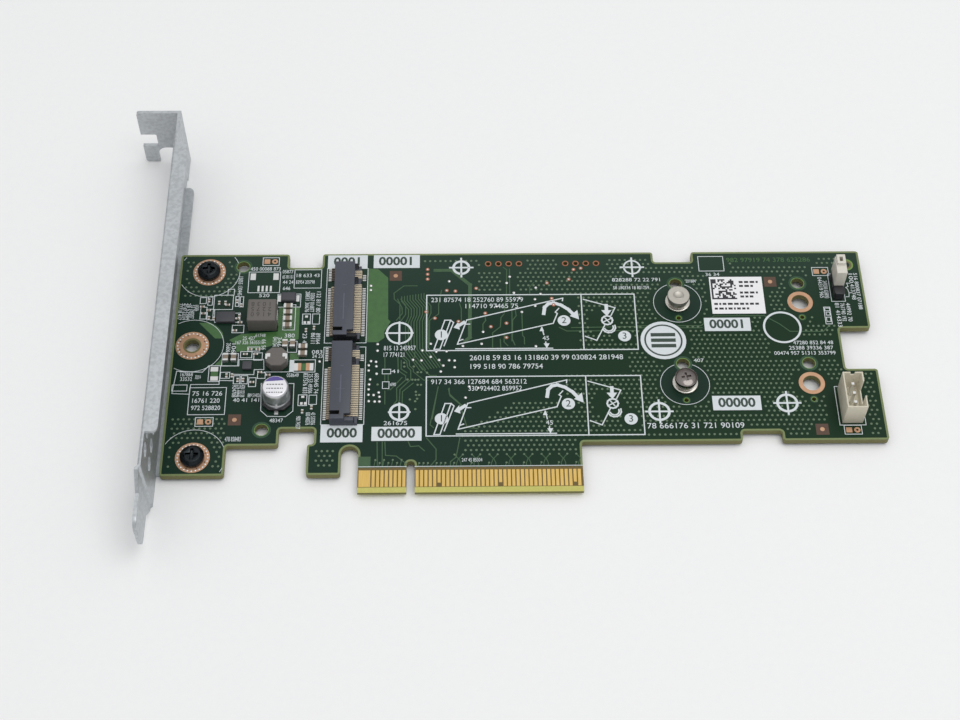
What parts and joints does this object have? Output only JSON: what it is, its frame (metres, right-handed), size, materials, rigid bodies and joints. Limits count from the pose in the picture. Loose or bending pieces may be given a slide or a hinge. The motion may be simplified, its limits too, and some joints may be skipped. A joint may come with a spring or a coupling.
{
  "type": "gumstick ssd controller card",
  "caption": "Flat add-in circuit card with a gold edge connector, folded slot bracket, sockets and standoffs for stick drives, power parts, jumper and wire header.",
  "frame": {"origin": "middle of the key slot, at the contact edge, on the component face", "axes": "+X along the board away from the bracket, +Y from the contact edge to the far edge, +Z out of the component face"},
  "size_m": [0.1805, 0.1171, 0.0198],
  "materials": {
    "solder_mask": "green epoxy laminate, satin",
    "gold_contact": "gold plated, polished",
    "zinc_sheet": "zinc plated sheet steel, mottled",
    "black_screw": "black oxide",
    "nickel_metal": "nickel plated, satin",
    "tin_metal": "tin plated, bright",
    "socket_plastic": "slate black moulding",
    "chip_epoxy": "black moulded epoxy",
    "black_plastic": "black moulding",
    "ferrite": "pressed metal powder, matt grey brown",
    "chip_ceramic": "fired ceramic, grey brown",
    "can_aluminium": "bright aluminium can",
    "white_plastic": "white moulding",
    "ivory_plastic": "ivory moulding",
    "label_paper": "white label stock"
  },
  "bodies": {
    "root": {"back_mite_ceramics": "chip_ceramic", "back_mite_end_caps": "tin_metal", "bracket": "zinc_sheet", "bracket_screw_lower": "black_screw", "bracket_screw_upper": "black_screw", "capacitor_base": "black_plastic", "capacitor_can": "can_aluminium", "capacitor_leads": "tin_metal", "chip_capacitor_ceramics": "chip_ceramic", "chip_capacitor_end_caps": "tin_metal", "chip_mite_ceramics": "chip_ceramic", "chip_mite_end_caps": "tin_metal", "circuit_board": "solder_mask", "crystal": "nickel_metal", "drive_screw_0": "nickel_metal", "drive_screw_1": "nickel_metal", "edge_contacts_back": "gold_contact", "edge_contacts_front": "gold_contact", "flash_memory_chip": "chip_epoxy", "jumper_header_base": "black_plastic", "jumper_header_pins": "gold_contact", "jumper_shunt": "white_plastic", "jumper_shunt_clip": "gold_contact", "m2_socket_contacts_0": "gold_contact", "m2_socket_contacts_1": "gold_contact", "m2_socket_housing_0": "socket_plastic", "m2_socket_housing_1": "socket_plastic", "package_body": "chip_epoxy", "package_leads": "tin_metal", "paper_label": "label_paper", "power_inductor_core": "ferrite", "power_inductor_terminals": "tin_metal", "power_regulator_chip": "chip_epoxy", "small_inductor_core": "ferrite", "small_inductor_terminals": "tin_metal", "small_regulator_chip": "chip_epoxy", "standoff_0": "nickel_metal", "standoff_1": "nickel_metal", "storage_controller_chip": "chip_epoxy", "wire_header_housing": "ivory_plastic", "wire_header_pins": "tin_metal"}
  },
  "joints": []
}
